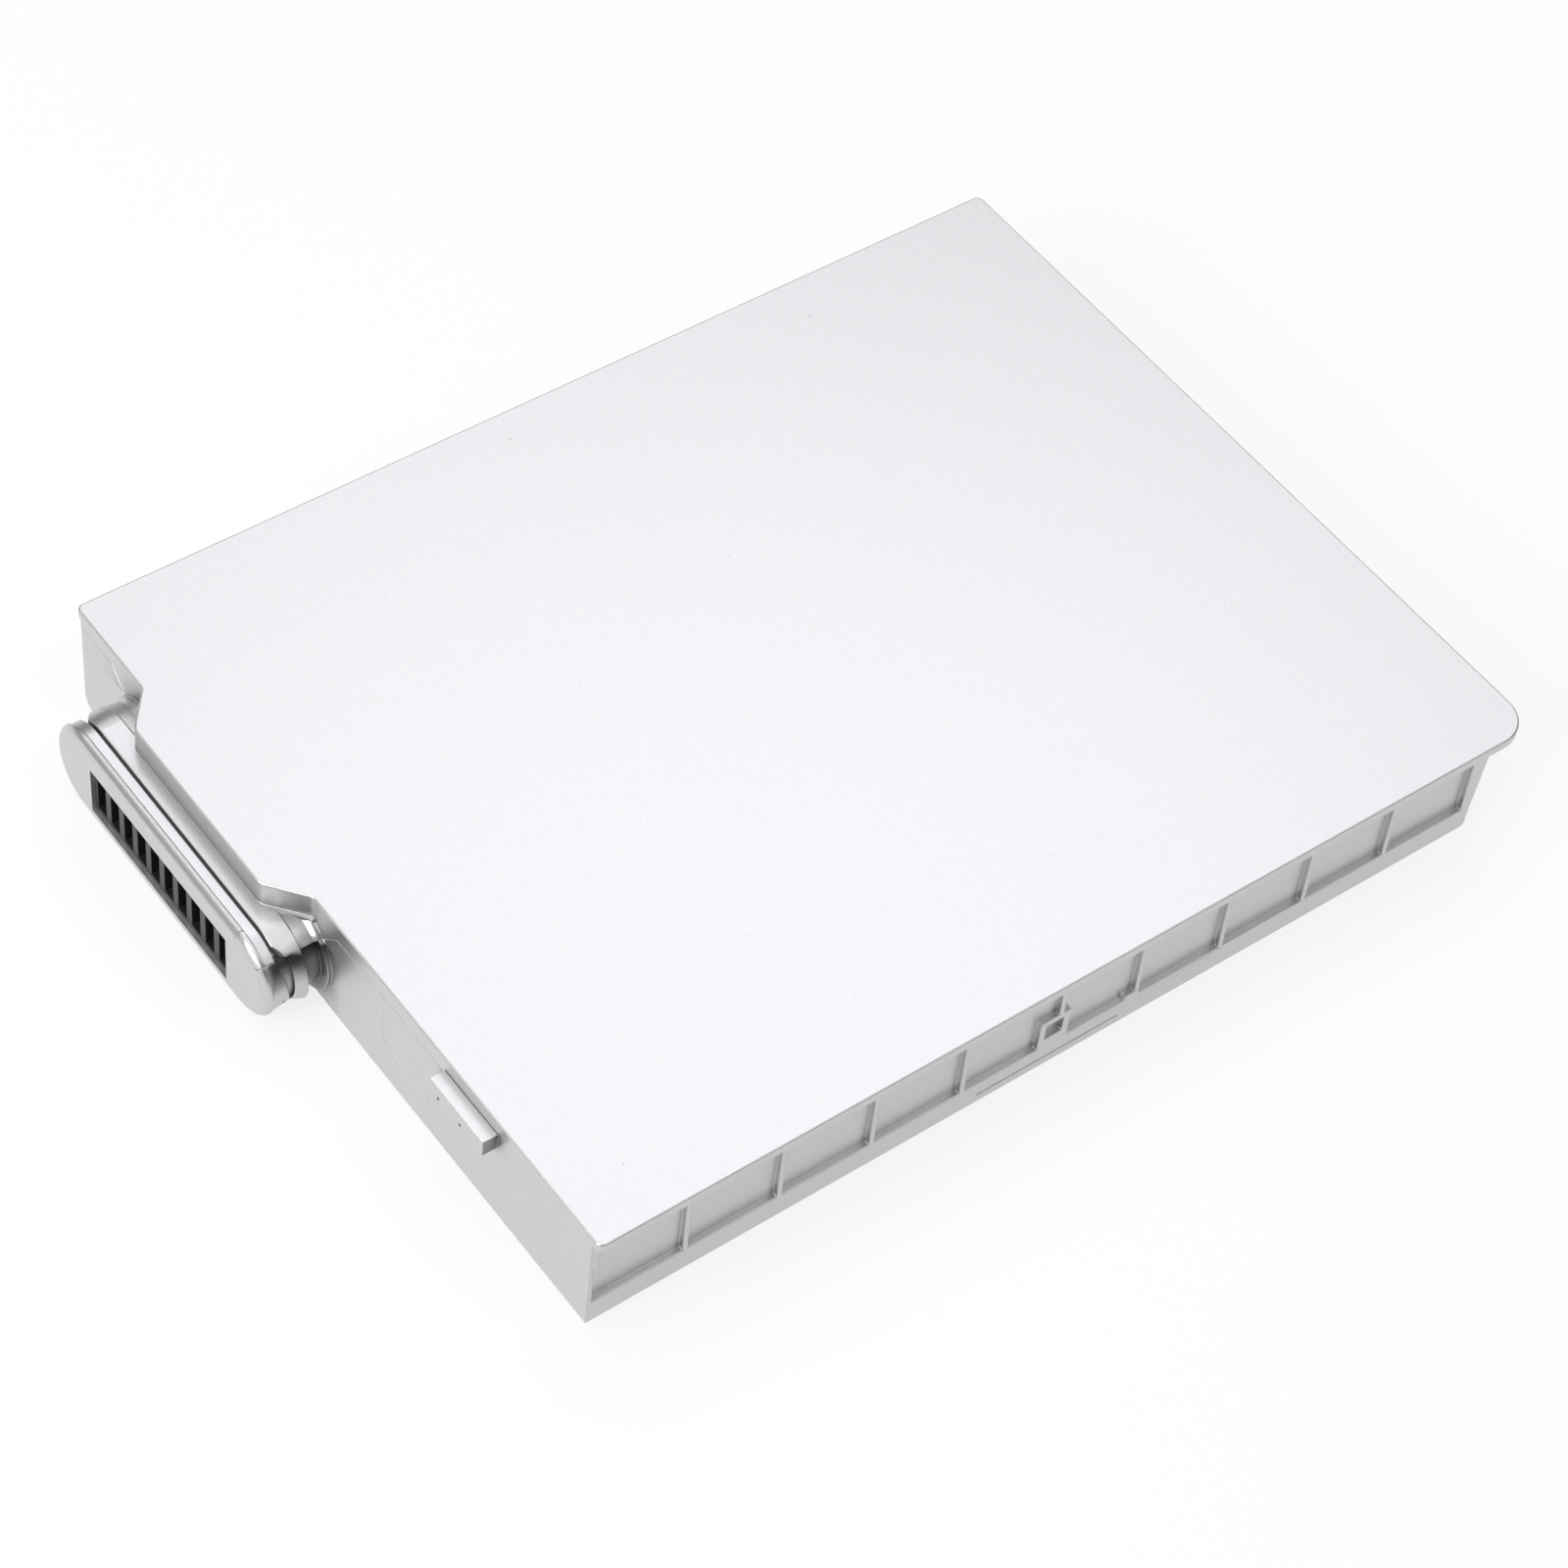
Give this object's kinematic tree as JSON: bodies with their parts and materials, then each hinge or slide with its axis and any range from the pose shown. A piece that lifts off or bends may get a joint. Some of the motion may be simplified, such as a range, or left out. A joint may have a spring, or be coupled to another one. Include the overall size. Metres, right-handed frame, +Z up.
{
  "type": "laptop battery",
  "caption": "Slim silver laptop battery pack with a flat cover, a ribbed long side, a catch pocket and a moulded plug with slotted contacts standing out of one short side.",
  "frame": {"origin": "middle of the object's box, on the underside that it rests on", "axes": "+X along the long side, away from the plug; +Y across, from the ribbed side to the plain side; +Z up, from the underside to the cover"},
  "size_m": [0.1924, 0.1442, 0.022],
  "materials": {
    "silver_shell": "silver paint over moulded plastic, satin",
    "black_moulding": "black glass-filled moulding",
    "contact_metal": "gold-plated spring metal",
    "glass_fibre_board": "green solder mask on glass fibre",
    "chip_moulding": "black chip moulding with tinned legs",
    "board_part": "dark ceramic body with tinned ends",
    "cell_sleeve": "shrink sleeve over a nickel-plated steel can",
    "nickel_strip": "rolled nickel, spot welded",
    "insulating_board": "pressed fibre board, grey-green"
  },
  "bodies": {
    "root": {"top_cover": "silver_shell", "bottom_case": "silver_shell", "contact_block": "black_moulding", "circuit_board": "glass_fibre_board", "gauge_chip": "chip_moulding", "monitor_chip": "chip_moulding", "charge_switch": "chip_moulding", "discharge_switch": "chip_moulding", "sense_resistor": "board_part", "board_fuse": "board_part", "thermistor": "board_part", "contact_01": "contact_metal", "contact_02": "contact_metal", "contact_03": "contact_metal", "contact_04": "contact_metal", "contact_05": "contact_metal", "contact_06": "contact_metal", "contact_07": "contact_metal", "contact_08": "contact_metal", "contact_09": "contact_metal", "contact_10": "contact_metal", "cell_01": "cell_sleeve", "cell_02": "cell_sleeve", "cell_03": "cell_sleeve", "cell_04": "cell_sleeve", "cell_05": "cell_sleeve", "cell_06": "cell_sleeve", "cell_07": "cell_sleeve", "cell_08": "cell_sleeve", "cell_09": "cell_sleeve", "cell_10": "cell_sleeve", "cell_11": "cell_sleeve", "cell_12": "cell_sleeve", "cell_13": "cell_sleeve", "cell_14": "cell_sleeve", "cell_15": "cell_sleeve", "cell_16": "cell_sleeve", "strip_near": "nickel_strip", "strip_far": "nickel_strip", "strip_middle": "nickel_strip", "strip_negative": "nickel_strip", "strip_positive": "nickel_strip", "sense_ribbon": "nickel_strip", "paper_near": "insulating_board", "paper_far": "insulating_board", "paper_middle": "insulating_board"}
  },
  "joints": []
}
